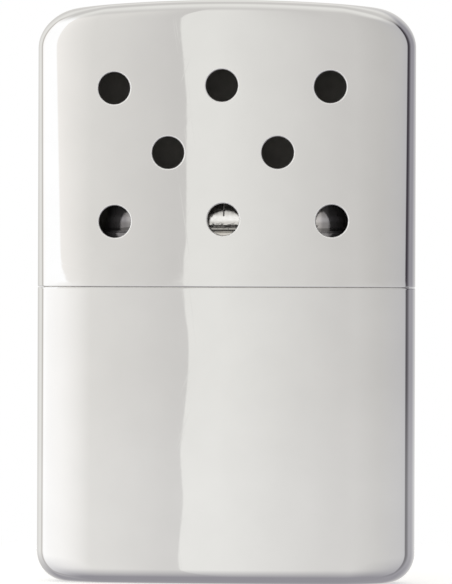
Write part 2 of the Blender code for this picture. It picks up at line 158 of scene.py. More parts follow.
def new_material(name):
    """A material, its tree and shader, and object coordinates in millimetres for its patterns."""
    material = bpy.data.materials.new(name)
    material.use_nodes = True
    tree = material.node_tree
    place = add_node(tree, "ShaderNodeTexCoord", output="Object")
    point = add_node(tree, "ShaderNodeVectorMath", (place, [1 / MM] * 3), operation="MULTIPLY")
    return material, tree, tree.nodes["Principled BSDF"], point


def polished_chrome_plate():
    """Drawn brass, buffed and chrome plated: a bright mirror, a little soft, with hairline wiping marks."""
    material, tree, shader, point = new_material("polished_chrome_plate")
    # Buffing leaves very shallow clouds in the plate, about 6 mm across
    clouds = add_node(tree, "ShaderNodeTexNoise", {"Vector": point, "Scale": 1 / 6.25, "Detail": 3.0})
    tint = add_node(tree, "ShaderNodeValToRGB", (clouds,), [(0.3, "#e5e5e5"), (0.7, "#e8e8e8")])
    # Wiping marks 0.1 mm wide and a few centimetres long, drawn just wide enough to catch light
    scratch = 0.0
    for turn, strength in ((8, 1.0), (-21, 0.7), (74, 0.6)):
        turned = add_node(tree, "ShaderNodeVectorRotate", {"Vector": point, "Angle": math.radians(turn)},
                          rotation_type="Y_AXIS")
        drawn_out = add_node(tree, "ShaderNodeVectorMath", (turned, (7.0, 0.4, 0.05)), operation="MULTIPLY")
        lines = add_node(tree, "ShaderNodeTexNoise", {"Vector": drawn_out, "Scale": 1.0, "Detail": 2.0})
        marks = add_node(tree, "ShaderNodeMapRange", (lines, 0.66, 0.76, 0.0, strength))
        scratch = add_node(tree, "ShaderNodeMath", (scratch, marks), operation="MAXIMUM")
    haze = add_node(tree, "ShaderNodeTexNoise", {"Vector": point, "Scale": 1 / 1.82, "Detail": 5.0})
    rough = add_node(tree, "ShaderNodeMapRange", (haze, 0.3, 0.75, 0.012, 0.028))
    rough = add_node(tree, "ShaderNodeMath", (scratch, 0.03, rough), operation="MULTIPLY_ADD")
    ripple = add_node(tree, "ShaderNodeTexNoise", {"Vector": point, "Scale": 1 / 2.86, "Detail": 2.0})
    waves = add_node(tree, "ShaderNodeBump", {"Height": ripple, "Strength": 0.05, "Distance": 0.02 * MM})
    relief = add_node(tree, "ShaderNodeBump", {"Height": scratch, "Strength": 0.10, "Distance": -0.002 * MM,
                                               "Normal": waves})
    feed(tree, shader, {"Base Color": tint, "Metallic": 1.0, "Roughness": rough, "Normal": relief})
    return material


def satin_vent_edge_highlight():
    """The rolled edge of a vent: a satin ring, rougher than the plate, and paler than it as a painted
    highlight.
    """
    material, tree, shader, point = new_material("satin_vent_edge_highlight")
    patchy = add_node(tree, "ShaderNodeTexNoise", {"Vector": point, "Scale": 1 / 0.91, "Detail": 3.0})
    # Painted highlight: the ring's pale tint makes it brighter than the plate round it
    tint = add_node(tree, "ShaderNodeValToRGB", (patchy,), [(0.3, "#f4f4f4"), (0.7, "#fcfcfc")])
    rough = add_node(tree, "ShaderNodeMapRange", (patchy, 0.0, 1.0, 0.36, 0.52))
    feed(tree, shader, {"Base Color": tint, "Metallic": 1.0, "Roughness": rough})
    return material


def shade_darkened_plate():
    """The inside of the case: bare plate, never buffed, greyed and dulled as painted shade, so that it looks
    dark through the vents.
    """
    material, tree, shader, point = new_material("shade_darkened_plate")
    inside_shade = add_node(tree, "ShaderNodeTexNoise", {"Vector": point, "Scale": 1 / 2.0, "Detail": 6.0,
                                                 "Roughness": 0.6})
    # Painted shade: these grey tones darken the inside, where the case lies in its own shade
    tones = [(0.3, "#7e7b78"), (0.55, "#8b8884"), (0.8, "#999590")]
    tint = add_node(tree, "ShaderNodeValToRGB", (inside_shade,), tones)
    rough = add_node(tree, "ShaderNodeMapRange", (inside_shade, 0.0, 1.0, 0.35, 0.65))
    grain = add_node(tree, "ShaderNodeTexNoise", {"Vector": point, "Scale": 1 / 0.111, "Detail": 3.0})
    relief = add_node(tree, "ShaderNodeBump", {"Height": grain, "Strength": 0.3, "Distance": 0.01 * MM})
    feed(tree, shader, {"Base Color": tint, "Metallic": 0.3, "Roughness": rough, "Normal": relief})
    return material


# Painted shade at the ends of the burner, by place along it, and bands of painted shade and painted highlight
# by height over the skirt, in millimetres
END_SHADE = [(-20.0, "#8e8d92"), (-12.9, "#98979c"), (-12.6, "#b4b3b8"), (-10.6, "#ffffff"), (12.0, "#ffffff"),
           (12.8, "#eeedf2"), (13.1, "#c4c3c8"), (13.7, "#bcbbc0"), (13.9, "#8e8d92"), (20.0, "#8e8d92")]
SHADE_AND_HIGHLIGHT_BANDS = [(-4.3, "#dcdbd9"), (0.0, "#dcdbd9"), (0.02, "#a9a8a5"), (0.40, "#a9a8a5"), (0.44, "#dcdbd9"),
         (1.04, "#dcdbd9"), (1.37, "#ffffff"), (1.73, "#ffffff"), (2.14, "#dcdbd9"), (6.7, "#dcdbd9")]



def nickelled_steel():
    """Pressed steel, nickel plated: bright, slightly wavy, yellowed in clouds where the burner ran hot."""
    material, tree, shader, point = new_material("nickelled_steel")
    heat = add_node(tree, "ShaderNodeTexNoise", {"Vector": point, "Scale": 1 / 3.57, "Detail": 4.0})
    tones = [(0.32, "#ffffff"), (0.58, "#fbfaf8"), (0.80, "#f2ede6")]
    tint = add_node(tree, "ShaderNodeValToRGB", (heat,), tones)
    # Painted shade greys the ends cool, in blotches, and makes them less metallic. A dull line of painted
    # shade runs under the windows, and a bright band of painted highlight above them.
    x, _, z = add_node(tree, "ShaderNodeSeparateXYZ", (point,), output=None).outputs
    blotch = add_node(tree, "ShaderNodeMath", (heat, 0.5), operation="SUBTRACT")
    along = add_node(tree, "ShaderNodeMath", (blotch, 1.2, x), operation="MULTIPLY_ADD")
    height = add_node(tree, "ShaderNodeMath", (blotch, 0.5, z), operation="MULTIPLY_ADD")
    for measure, layer, start in ((along, END_SHADE, 0.0), (height, SHADE_AND_HIGHLIGHT_BANDS, SKIRT_HIGH.z / MM)):
        low, high = layer[0][0], layer[-1][0]
        share = add_node(tree, "ShaderNodeMapRange", (measure, start + low, start + high))
        painted_light = add_node(tree, "ShaderNodeValToRGB", (share,), as_shares(layer, low, high))
        tint = add_node(tree, "ShaderNodeMix", {0: 1.0, 6: tint, 7: painted_light}, output=2, data_type="RGBA",
                        blend_type="MULTIPLY")
    from_middle = add_node(tree, "ShaderNodeMath", (along,), operation="ABSOLUTE")
    metallic = add_node(tree, "ShaderNodeMapRange", (from_middle, 10.5, 12.5, 1.0, 0.72))
    specks = add_node(tree, "ShaderNodeTexNoise", {"Vector": point, "Scale": 1 / 0.385, "Detail": 4.0})
    rough = add_node(tree, "ShaderNodeMapRange", (specks, 0.3, 0.75, 0.08, 0.26))
    relief = add_node(tree, "ShaderNodeBump", {"Height": specks, "Strength": 0.35, "Distance": 0.03 * MM})
    feed(tree, shader, {"Base Color": tint, "Metallic": metallic, "Roughness": rough, "Normal": relief})
    return material


def tank_collar_plate():
    """Thin nickel-plated brass of the collar and neck: satin from the press, with fine lines round it."""
    material, tree, shader, point = new_material("tank_collar_plate")
    tone = add_node(tree, "ShaderNodeTexNoise", {"Vector": point, "Scale": 1 / 3.33, "Detail": 3.0})
    tint = add_node(tree, "ShaderNodeValToRGB", (tone,), [(0.3, "#d3cfc8"), (0.7, "#dedbd5")])
    # Lines 0.1 mm apart and 4 mm long
    flattened = add_node(tree, "ShaderNodeVectorMath", (point, (0.25, 0.25, 9.0)), operation="MULTIPLY")
    drawn = add_node(tree, "ShaderNodeTexNoise", {"Vector": flattened, "Scale": 1.0, "Detail": 4.0})
    rough = add_node(tree, "ShaderNodeMapRange", (drawn, 0.0, 1.0, 0.14, 0.34))
    relief = add_node(tree, "ShaderNodeBump", {"Height": drawn, "Strength": 0.25, "Distance": 0.006 * MM})
    feed(tree, shader, {"Base Color": tint, "Metallic": 1.0, "Roughness": rough, "Normal": relief})
    return material


def fibre_material(name, stops, mottle, roughness, sheen, sheen_tint):
    """Loose fibre: matt, with a soft edge light, mottled from fibre to fibre at a size in millimetres."""
    material, tree, shader, point = new_material(name)
    tuft = add_node(tree, "ShaderNodeTexNoise", {"Vector": point, "Scale": 1 / mottle, "Detail": 6.0,
                                                 "Roughness": 0.7})
    tint = add_node(tree, "ShaderNodeValToRGB", (tuft,), stops)
    lengthwise = add_node(tree, "ShaderNodeVectorMath", (point, (1.0, 6.0, 6.0)), operation="MULTIPLY")
    strand = add_node(tree, "ShaderNodeTexNoise", {"Vector": lengthwise, "Scale": 3 / mottle, "Detail": 4.0})
    relief = add_node(tree, "ShaderNodeBump", {"Height": strand, "Strength": 0.5, "Distance": 0.06 * MM})
    feed(tree, shader, {"Base Color": tint, "Roughness": roughness, "Sheen Weight": sheen,
                        "Sheen Tint": srgb(sheen_tint), "Normal": relief})
    return material


def platinised_glass_wool():
    """The catalyst's glass wool: pale grey, and matt but for the light that its strands catch."""
    return fibre_material("platinised_glass_wool", [(0.32, "#a3a2a0"), (0.55, "#cdcbc7"), (0.78, "#ebe9e4")],
                          0.526, 0.8, 0.3, "#c9c6bd")


def platinum_black_fibre():
    """The strands that carry the most platinum black: near black, quite matt."""
    return fibre_material("platinum_black_fibre", [(0.3, "#2b2a2c"), (0.7, "#565558")], 0.417, 0.85, 0.1,
                          "#9b9a9c")


def wool_felt():
    """Pressed wool felt: cream, close and matt."""
    return fibre_material("wool_felt", [(0.3, "#c9bfa9"), (0.7, "#ded6c4")], 0.833, 0.95, 0.4, "#f1ead9")


def cotton_wadding():
    """Bleached cotton wadding: off-white, loose and soft."""
    return fibre_material("cotton_wadding", [(0.3, "#e2dccd"), (0.7, "#f3efe6")], 1.667, 0.95, 0.5, "#ffffff")


def seen_straight(tree):
    """1 for camera and transmitted rays, 0 for the others."""
    path = add_node(tree, "ShaderNodeLightPath", output=None)
    straight, through = path.outputs["Is Camera Ray"], path.outputs["Is Transmission Ray"]
    return add_node(tree, "ShaderNodeMath", (straight, through), operation="MAXIMUM")


def painted_board():
    """The floor: a matt white board, seen as white by the camera but for the object's shadow."""
    material, tree, shader, point = new_material("painted_board")
    tooth = add_node(tree, "ShaderNodeTexNoise", {"Vector": point, "Scale": 1 / 2.0, "Detail": 4.0})
    tint = add_node(tree, "ShaderNodeValToRGB", (tooth,), [(0.3, "#e4e4e2"), (0.7, "#e9e9e7")])
    # Camera and transmitted rays see the board lifted to white; the shadow stays darker than the rest
    lift = add_node(tree, "ShaderNodeMath", (seen_straight(tree), 0.45), operation="MULTIPLY")
    # The board fades out at its edge, so that no edge shows in the plate's reflection
    away = add_node(tree, "ShaderNodeVectorMath", (point,), output="Value", operation="LENGTH")
    fade = add_node(tree, "ShaderNodeMapRange", (away, 30.0, 110.0, 1.0, 0.0),
                    interpolation_type="SMOOTHSTEP")
    feed(tree, shader, {"Base Color": tint, "Roughness": 0.9, "Specular IOR Level": 0.2,
                        "Emission Color": srgb("#ffffff"), "Emission Strength": lift, "Alpha": fade})
    return material


# Meshes

def make_piece(name, points, faces, materials, normals=None, slots=None):
    """A smooth mesh object; normals are given per vertex where they are known exactly."""
    mesh = bpy.data.meshes.new(name)
    mesh.from_pydata([tuple(point) for point in points], [], faces)
    for material in materials:
        mesh.materials.append(material)
    if slots is not None:
        mesh.polygons.foreach_set("material_index", slots)
    mesh.shade_smooth()
    mesh.update()
    if normals is not None:
        mesh.normals_split_custom_set_from_vertices([tuple(normal) for normal in normals])
    piece = bpy.data.objects.new(name, mesh)
    bpy.context.collection.objects.link(piece)
    return piece


def section_at(theta, inset):
    """Points of the section's half that faces +Y, by the angle of the normal from +Y."""
    size = np.abs(theta)
    zones = [size <= FACE_ANGLE, size <= SHOULDER_ANGLE]
    radius = np.select(zones, [FACE_RADIUS, SHOULDER_RADIUS], SIDE_RADIUS) - inset
    x = (np.select(zones, [0.0, SHOULDER_X], SIDE_X) + radius * np.sin(size)) * np.sign(theta)
    y = np.select(zones, [FACE_Y, SHOULDER_Y], 0.0) + radius * np.cos(size)
    return x, y


def theta_of(x):
    """The angle of the section's normal where the outside is x from the middle."""
    size = abs(x)
    if size <= FACE_RADIUS * math.sin(FACE_ANGLE):
        return math.copysign(math.asin(size / FACE_RADIUS), x)
    return math.copysign(math.asin((size - SHOULDER_X) / SHOULDER_RADIUS), x)


def strips_across(row, half):
    """Faces that close a row of corners, in strips between its first half and its second."""
    count = len(row)
    for step in range(half):
        corners = row[step], row[step + 1], row[(count - step - 1) % count], row[(count - step) % count]
        yield tuple(dict.fromkeys(corners))


class CaseHalf:
    """One drawn half of the case, as rows of points from its closed end to its rim and back inside."""

    def __init__(self, end, end_height, up):
        self.end = end
        self.end_height = end_height
        self.up = up
        lattice = [(place / CELL_STEPS - CELL_COLUMNS / 2) * CELL_WIDTH
                   for place in range(CELL_COLUMNS * CELL_STEPS + 1)]
        edge = theta_of(lattice[-1])
        shoulder = list(np.linspace(edge, SHOULDER_ANGLE, 9)[1:])
        side = list(np.linspace(SHOULDER_ANGLE, math.pi / 2, 17)[1:])
        half = shoulder + side
        front = [-angle for angle in reversed(half)] + [theta_of(x) for x in lattice] + half
        self.first_column = len(half)
        self.front_count = len(front)
        # Round the section: along the front from left to right, and along the back from right to left
        self.theta = np.array(front + [angle for angle in reversed(front[1:-1])])
        self.face = np.array([-1.0] * len(front) + [1.0] * (len(front) - 2))
        self.points = []
        self.normals = []
        self.faces = []
        self.slots = []

    def place(self, theta, face, inset, angle, height):
        """A point of the wall at a height, or of the closed end where angle is given."""
        x, y = section_at(theta, inset)
        y = y * face
        if angle is None:
            return np.stack([x, y, np.full_like(x, height)], axis=-1)
        corner, roll, crown = self.end["corner"] - inset, self.end["roll"] - inset, self.end["crown"]
        distance = corner * (1 - math.cos(angle))
        narrower = corner * (1 - math.sin(angle))
        width, depth = CASE_WIDTH / 2 - inset, CASE_DEPTH / 2 - inset
        x = x * (width - narrower) / width
        middle = CASE_WIDTH / 2 - self.end["corner"]
        rise = crown * (1 - distance / corner) * (1 - (x / middle) ** 2)
        z = self.end_height - self.up * (crown + inset + distance - rise)
        # The roll runs along the outline of the end and round its corners, and fades out down the sides
        beyond = np.maximum(np.abs(x) - middle, 0.0)
        climb = corner - distance
        reach = np.hypot(beyond, climb)
        top = np.where(beyond > 0, corner - reach, distance)
        lean = (climb / np.maximum(reach, 1e-9)) ** 2
        rest = np.clip(roll - top, 0.0, roll)
        thinner = roll - np.sqrt(np.maximum(roll ** 2 - rest ** 2, 0.0))
        y = y * (1 - lean * thinner / depth)
        return np.stack([x, y, z], axis=-1)

    def row(self, inset, angle=None, height=None, tilt=0.0, inside=False):
        """Add a row round the section; tilt turns its normals from the section's towards the rim."""
        points = self.place(self.theta, self.face, inset, angle, height)
        level = np.zeros_like(self.theta)
        outward = np.stack([np.sin(self.theta), np.cos(self.theta) * self.face, level], axis=-1)
        if angle is None:
            normals = outward * math.cos(tilt)
            normals[:, 2] -= self.up * math.sin(tilt)
        else:
            small = 1e-4
            ahead, behind = (self.place(self.theta + turn, self.face, inset, angle, 0)
                             for turn in (small, -small))
            lower, higher = (self.place(self.theta, self.face, inset, place, 0)
                             for place in (angle + small, max(angle - small, 1e-6)))
            along, down = ahead - behind, lower - higher
            normals = np.cross(along, down)
            normals /= np.linalg.norm(normals, axis=1, keepdims=True)
            reference = outward + np.array([0, 0, self.up])
            normals *= np.sign(np.sum(normals * reference, axis=1, keepdims=True))
        if inside:
            normals = -normals
        start = len(self.points)
        self.points += list(points)
        self.normals += list(normals)
        return list(range(start, start + len(self.theta)))

    def add_face(self, corners, slot):
        self.faces.append(corners)
        self.slots.append(slot)

    def join(self, upper, lower, slot, skip=()):
        count = len(upper)
        for column in range(count):
            if column in skip:
                continue
            following = (column + 1) % count
            self.add_face((upper[column], lower[column], lower[following], upper[following]), slot)

    def cap(self, row, slot, flip):
        """Close the first or last row between its front and its back."""
        for corners in strips_across(row, self.front_count - 1):
            self.add_face(corners[::-1] if flip else corners, slot)


def vent_ring(half, border, centre, share, inset, radius, inside):
    """A ring between a cell's border and its vent; share runs from 0 at the border to 1 at the vent."""
    count = len(border)
    cell_points = np.array([half.points[index] for index in border])
    turn = np.array([math.pi * (2 * place / count - 0.75) for place in range(count)])
    x = cell_points[:, 0] * (1 - share) + (centre[0] + radius * np.cos(turn)) * share
    z = cell_points[:, 2] * (1 - share) + (centre[1] + radius * np.sin(turn)) * share
    theta = np.array([theta_of(value) for value in x])
    _, y = section_at(theta, inset)
    normals = np.stack([np.sin(theta), -np.cos(theta), np.zeros_like(theta)], axis=-1)
    if inside:
        normals = -normals
    start = len(half.points)
    half.points += list(np.stack([x, -y, z], axis=-1))
    half.normals += list(normals)
    return list(range(start, start + count)), turn


def pierce(half, outer_border, inner_border, centre):
    """Fill a cell of the outer and the inner wall round a vent, with a rounded lip outside."""
    rings = [outer_border]
    for share in (*RING_SHARES, 1.0):
        ring, _ = vent_ring(half, outer_border, centre, share, 0.0, VENT_RADIUS + VENT_LIP, False)
        rings.append(ring)
    leans = [math.pi / 2 * step / LIP_STEPS for step in range(1, LIP_STEPS + 1)]
    edge = [(VENT_LIP * (1 - math.cos(lean)), VENT_RADIUS + VENT_LIP * (1 - math.sin(lean)), lean)
            for lean in leans]
    edge += [(WALL - VENT_BURR, VENT_RADIUS, math.pi / 2), (WALL, VENT_RADIUS + VENT_BURR, math.pi / 2 + 0.5)]
    for inset, radius, lean in edge:
        ring, turn = vent_ring(half, outer_border, centre, 1.0, inset, radius, False)
        for place, index in enumerate(ring):
            inward = np.array([-math.cos(turn[place]), 0.0, -math.sin(turn[place])])
            half.normals[index] = half.normals[index] * math.cos(lean) + inward * math.sin(lean)
        rings.append(ring)
    for share in reversed(RING_SHARES):
        ring, _ = vent_ring(half, inner_border, centre, share, WALL, VENT_RADIUS + VENT_BURR, True)
        rings.append(ring)
    rings.append(inner_border)
    slots = [0] * (len(RING_SHARES) + 1) + [2] * LIP_STEPS + [0] + [1] * (len(RING_SHARES) + 2)
    for (outer, inner), slot in zip(zip(rings, rings[1:]), slots):
        for place in range(len(outer)):
            following = (place + 1) % len(outer)
            half.add_face((outer[place], outer[following], inner[following], inner[place]), slot)


def cell_border(rows, top, left):
    """Indices round one cell, anticlockwise seen from the front, from its lower left corner."""
    low, right = top + CELL_STEPS, left + CELL_STEPS
    border = [rows[low][column] for column in range(left, right)]
    border += [rows[row][right] for row in range(low, top, -1)]
    border += [rows[top][column] for column in range(right, left, -1)]
    border += [rows[row][left] for row in range(top, low)]
    return border


# How far the pressed face turns left or right, in degrees, by height in millimetres
WAVER = [(0.0, 0.35), (4.4, 0.3), (10.9, 0.10), (17.5, 0.25), (24.0, 0.0), (28.0, -0.12), (32.0, -0.12),
         (38.7, 0.14), (42.5, 0.10), (45.2, 0.0), (63.6, 0.0), (70.2, 0.2), (75.5, 0.5)]
# It dies out over this width, from this far from the middle
WAVER_FADE = 9 * MM
WAVER_REACH = 17 * MM


def let_sheet_waver(half):
    """Turn the normals of the broad faces a little, as thin pressed sheet is never quite flat."""
    points, normals = np.array(half.points), np.array(half.normals)
    heights, turns = zip(*WAVER)
    turn = np.radians(np.interp(points[:, 2] / MM, heights, turns))
    fade = np.clip((WAVER_REACH - np.abs(points[:, 0])) / WAVER_FADE, 0, 1)
    turn *= fade * fade * (3 - 2 * fade)
    turned = normals.copy()
    turned[:, 0] = normals[:, 0] * np.cos(turn) - normals[:, 1] * np.sin(turn)
    turned[:, 1] = normals[:, 0] * np.sin(turn) + normals[:, 1] * np.cos(turn)
    half.normals = list(turned)


def case_half(name, end, end_height, up, rim, finishes, vents=()):
    """One half of the case: its closed end, its walls with their vents, and its rounded rim."""
    half = CaseHalf(end, end_height, up)
    lattice_rows = len(VENT_ROWS)
    lattice_low = FIRST_VENT_ROW - 0.5 * CELL_HEIGHT
    lattice_top = lattice_low + lattice_rows * CELL_HEIGHT
    if vents:
        heights = list(np.linspace(lattice_top, lattice_low, lattice_rows * CELL_STEPS + 1))
        heights += list(np.linspace(lattice_low, rim + RIM_HEIGHT, 9)[1:])
    else:
        straight = end_height - up * (end["crown"] + end["corner"])
        heights = list(np.linspace(straight, rim - RIM_HEIGHT, 33)[1:])
    end_angles = np.linspace(0.0, math.pi / 2, 21)
    outer, inner = ([half.row(inset, angle=angle, inside=inset > 0) for angle in end_angles] +
                    [half.row(inset, height=height, inside=inset > 0) for height in heights]
                    for inset in (0.0, WALL))
    chain = [outer[-1]]
    for step in range(1, RIM_STEPS + 1):
        turn = math.pi / 2 * step / RIM_STEPS
        tilt = math.atan2(math.sin(turn) / RIM_HEIGHT, math.cos(turn) / RIM_DEPTH)
        level = rim + up * RIM_HEIGHT * (1 - math.sin(turn))
        chain.append(half.row(RIM_DEPTH * (1 - math.cos(turn)), height=level, tilt=tilt))
    for step in reversed(range(RIM_STEPS)):
        turn = math.pi / 2 * step / RIM_STEPS
        level = rim + up * RIM_HEIGHT * (1 - math.sin(turn))
        chain.append(half.row(WALL - RIM_DEPTH * (1 - math.cos(turn)), height=level, tilt=turn))
        for index in chain[-1]:
            half.normals[index][:2] *= -1
    chain.append(inner[-1])
    cut_cells = {}
    for column, row in vents:
        top_row = len(end_angles) + (lattice_rows - 1 - row) * CELL_STEPS
        left = half.first_column + (column + CELL_COLUMNS // 2) * CELL_STEPS
        for step in range(CELL_STEPS):
            cut_cells.setdefault(top_row + step, set()).update(range(left, left + CELL_STEPS))
        aside, above = OFF_PLACE[column, row]
        centre = (column * CELL_WIDTH + aside * MM, FIRST_VENT_ROW + row * CELL_HEIGHT + above * MM)
        pierce(half, cell_border(outer, top_row, left), cell_border(inner, top_row, left), centre)
    for place, (upper, lower) in enumerate(zip(outer, outer[1:])):
        half.join(upper, lower, 0, cut_cells.get(place, ()))
    for place, (upper, lower) in enumerate(zip(inner, inner[1:])):
        half.join(lower, upper, 1, cut_cells.get(place, ()))
    for upper, lower in zip(chain, chain[1:]):
        half.join(upper, lower, 0)
    half.cap(outer[0], 0, False)
    half.cap(inner[0], 1, True)
    let_sheet_waver(half)
    faces = half.faces if up > 0 else [tuple(reversed(face)) for face in half.faces]
    return make_piece(name, half.points, faces, finishes, half.normals, half.slots)


# Loops round a piece, as rows of x, y and the outward normal's x and y, anticlockwise from +X
LOOP_STEPS = 36


def mirrored(quarter):
    """A whole loop from the quarter of it between +X and +Y."""
    turned = [quarter, quarter[-2::-1] * (-1, 1, -1, 1), -quarter[1:], quarter[-2:0:-1] * (1, -1, 1, -1)]
    return np.concatenate(turned)


def stadium(width, depth, inset=0.0):
    """A slot with straight sides and round ends, moved in by inset."""
    arc_steps = 20
    straight_steps = LOOP_STEPS - arc_steps
    turn = np.concatenate([np.linspace(0, math.pi / 2, arc_steps + 1), np.full(straight_steps, math.pi / 2)])
    along = np.concatenate([np.ones(arc_steps + 1), 1 - np.arange(1, straight_steps + 1) / straight_steps])
    radius = depth / 2 - inset
    x = (width - depth) / 2 * along + radius * np.cos(turn)
    return mirrored(np.stack([x, radius * np.sin(turn), np.cos(turn), np.sin(turn)], axis=-1))


def section_loop(inset):
    """The case's section, moved in by inset."""
    theta = np.concatenate([np.linspace(math.pi / 2, SHOULDER_ANGLE, 13),
                            np.linspace(SHOULDER_ANGLE, FACE_ANGLE, 7)[1:],
                            np.linspace(FACE_ANGLE, 0, LOOP_STEPS - 17)[1:]])
    x, y = section_at(theta, inset)
    x[-1] = 0.0
    return mirrored(np.stack([x, y, np.sin(theta), np.cos(theta)], axis=-1))


def bend(inset, height, radius, start, end, steps=6):
    """Part of a round in a wall's profile: inset, height and lean of the normal above the level."""
    leans = [math.radians(start + (end - start) * step / steps) for step in range(steps + 1)]
    return [(inset - radius * math.cos(lean), height + radius * math.sin(lean), lean) for lean in leans]


def hollow_bend(inset, height, radius, start, end, steps=6):
    """The inner side of a round: its normals point towards the centre of the round."""
    return [(place, level, lean + math.pi)
            for place, level, lean in bend(inset, height, radius, start, end, steps)]


def swept(name, rows, finishes, closed=True, capped=False):
    """Join rows of loop, height and lean: up the outside, over the top and down the inside."""
    points, normals, faces = [], [], []
    for loop, height, lean in rows:
        level = np.full(len(loop), height)
        points.append(np.stack([loop[:, 0], loop[:, 1], level], axis=-1))
        normals.append(np.stack([loop[:, 2] * math.cos(lean), loop[:, 3] * math.cos(lean),
                                 np.full(len(loop), math.sin(lean))], axis=-1))
    count = len(rows[0][0])
    pairs = [(row, row + 1) for row in range(len(rows) - 1)]
    if closed:
        pairs.append((len(rows) - 1, 0))
    for lower, upper in pairs:
        for step in range(count):
            following = (step + 1) % count
            faces.append((lower * count + step, lower * count + following,
                          upper * count + following, upper * count + step))
    if capped:
        for start, flip in ((0, True), ((len(rows) - 1) * count, False)):
            for corners in strips_across(range(start, start + count), count // 2):
                faces.append(corners[::-1] if flip else corners)
    return make_piece(name, np.concatenate(points), faces, finishes, np.concatenate(normals))


def stadium_rows(width, depth, profile):
    return [(stadium(width, depth, inset), height, lean) for inset, height, lean in profile]


def wall_ends(outer, inner, foot, edge):
    """The rounded foot of a wall, as its inner half and its outer half."""
    level = foot + edge
    return bend(inner - edge, level, edge, 180, 270, 3), bend(outer + edge, level, edge, -90, 0, 3)


def cut_away(piece, name, forms):
    """Cut closed forms, each of points and faces, out of a piece and keep the result as its mesh."""
    points, faces = [], []
    for form_points, form_faces in forms:
        faces += [tuple(corner + len(points) for corner in face) for face in form_faces]
        points += form_points
    tool = make_piece(name, points, faces, [])
    modifier = piece.modifiers.new(name, "BOOLEAN")
    modifier.operation = "DIFFERENCE"
    modifier.solver = "EXACT"
    modifier.object = tool
    settle(piece)
    bpy.data.objects.remove(tool, do_unlink=True)


def settle(piece):
    """Put the result of a piece's modifiers in the place of its mesh."""
    bpy.context.view_layer.update()
    result = bpy.data.meshes.new_from_object(piece.evaluated_get(bpy.context.evaluated_depsgraph_get()))
    piece.modifiers.clear()
    piece.data = result


def prism(outline, direction, start, end):
    """A closed form whose outline is drawn in the plane across a direction, 1 for Y and 2 for Z."""
    count = len(outline)
    points = []
    for depth in (start, end):
        for first, second in outline:
            points.append((first, depth, second) if direction == 1 else (first, second, depth))
    faces = [(step, (step + 1) % count, count + (step + 1) % count, count + step) for step in range(count)]
    faces += [tuple(range(count))[::-1], tuple(range(count, 2 * count))]
    if direction == 1:
        faces = [face[::-1] for face in faces]
    return points, faces


def smooth_by_angle(piece):
    piece.data.shade_smooth()
    piece.data.set_sharp_from_angle(angle=math.radians(32))


def build_collar():
    """The collar: a wall inside the cover, a rolled edge, and a deck that turns down round the neck."""
    outer, inner = 0.8 * MM, 1.3 * MM
    top, foot, roll = COLLAR_HIGH.z, COLLAR_LOW.z, 1.2 * MM
    thick, edge, fit = inner - outer, 0.15 * MM, 0.3 * MM
    hole = (NECK_WIDTH + 2 * fit, NECK_DEPTH + 2 * fit)
    rim_in, rim_out = wall_ends(outer, inner, foot, 0.1 * MM)
    rows = [(section_loop(inset), height, lean) for inset, height, lean in
            rim_out + bend(outer + roll, top - roll, roll, 0, 90, 12)]

    def deck(height, lean, shares):
        outside, inside = section_loop(outer + roll), stadium(*hole, -edge)
        return [(outside * (1 - share) + inside * share, height, lean) for share in shares]

    rows += deck(top, math.pi / 2, (0.2, 0.4, 0.6, 0.8, 1.0))
    rows += stadium_rows(*hole, bend(0.0, top - edge, edge, 90, 180, 5) + [(0.0, top - thick, math.pi)])
    rows += deck(top - thick, -math.pi / 2, (1.0, 0.8, 0.6, 0.4, 0.2))
    rows += [(section_loop(inset), height, lean) for inset, height, lean in
             hollow_bend(outer + roll, top - roll, roll - thick, 90, 0, 8) + rim_in]
    return swept("collar", rows, [collar_plate])


def build_neck():
    """The filler neck: an oval tube with a rounded mouth and a flange under the collar's deck."""
    foot, top, wall = NECK_LOW.z, NECK_HIGH.z, 0.4 * MM
    flange_top = COLLAR_HIGH.z - 0.8 * MM
    flange_foot = flange_top - 0.5 * MM
    flange, edge = -0.7 * MM, 0.1 * MM
    rim_in, rim_out = wall_ends(0.0, wall, foot, edge)
    profile = rim_out + [(0.0, flange_foot - edge, 0.0), (-edge, flange_foot, -math.pi / 2)]
    profile += bend(flange + edge, flange_foot + edge, edge, -90, 0, 3)
    profile += bend(flange + edge, flange_top - edge, edge, 0, 90, 3)
    profile += [(-edge, flange_top, math.pi / 2), (0.0, flange_top + edge, 0.0)]
    profile += bend(wall / 2, top - wall / 2, wall / 2, 0, 180, 10) + rim_in
    return swept("neck", stadium_rows(NECK_WIDTH, NECK_DEPTH, profile), [collar_plate])


def build_skirt():
    """The skirt: a rolled bead at its foot, a plain wall, a raised band, a crease and a rounded top."""
    foot, top = SKIRT_LOW.z, SKIRT_HIGH.z
    inner, outer, bead = -0.2 * MM, -0.55 * MM, 0.22 * MM
    band, edge, roll = -0.8 * MM, 0.1 * MM, 0.05 * MM
    band_foot, band_top = top - 0.95 * MM, top - 0.36 * MM
    low = foot + bead
    profile = bend(outer, low, bead, -90, 62, 10)
    profile += [(outer, low + 0.3 * MM, 0.0), (outer, band_foot - 0.2 * MM, 0.0)]
    profile += bend(band + edge, band_foot, edge, -60, 0, 4) + bend(band + edge, band_top, edge, 0, 60, 4)
    profile += [(outer, top - 0.19 * MM, 0.5), (outer, top - 0.13 * MM, -0.5)]
    profile += bend(outer - 0.08 * MM, top - roll, roll, -30, 90, 4)
    profile += bend(inner - roll, top - roll, roll, 90, 180, 3) + [(inner, foot, math.pi)]
    return swept("skirt", stadium_rows(HOOD_WIDTH, HOOD_DEPTH, profile), [nickel])


def face_inset(height):
    """How far the hood's face has drawn in at a height: a gentle bow that runs on as a slope."""
    rise = np.clip(height - BOW_FOOT, 0.0, BOW * math.sin(FACE_LEAN))
    bow = BOW - np.sqrt(BOW ** 2 - rise ** 2)
    return bow + np.maximum(height - BOW_FOOT - BOW * math.sin(FACE_LEAN), 0.0) * math.tan(FACE_LEAN)


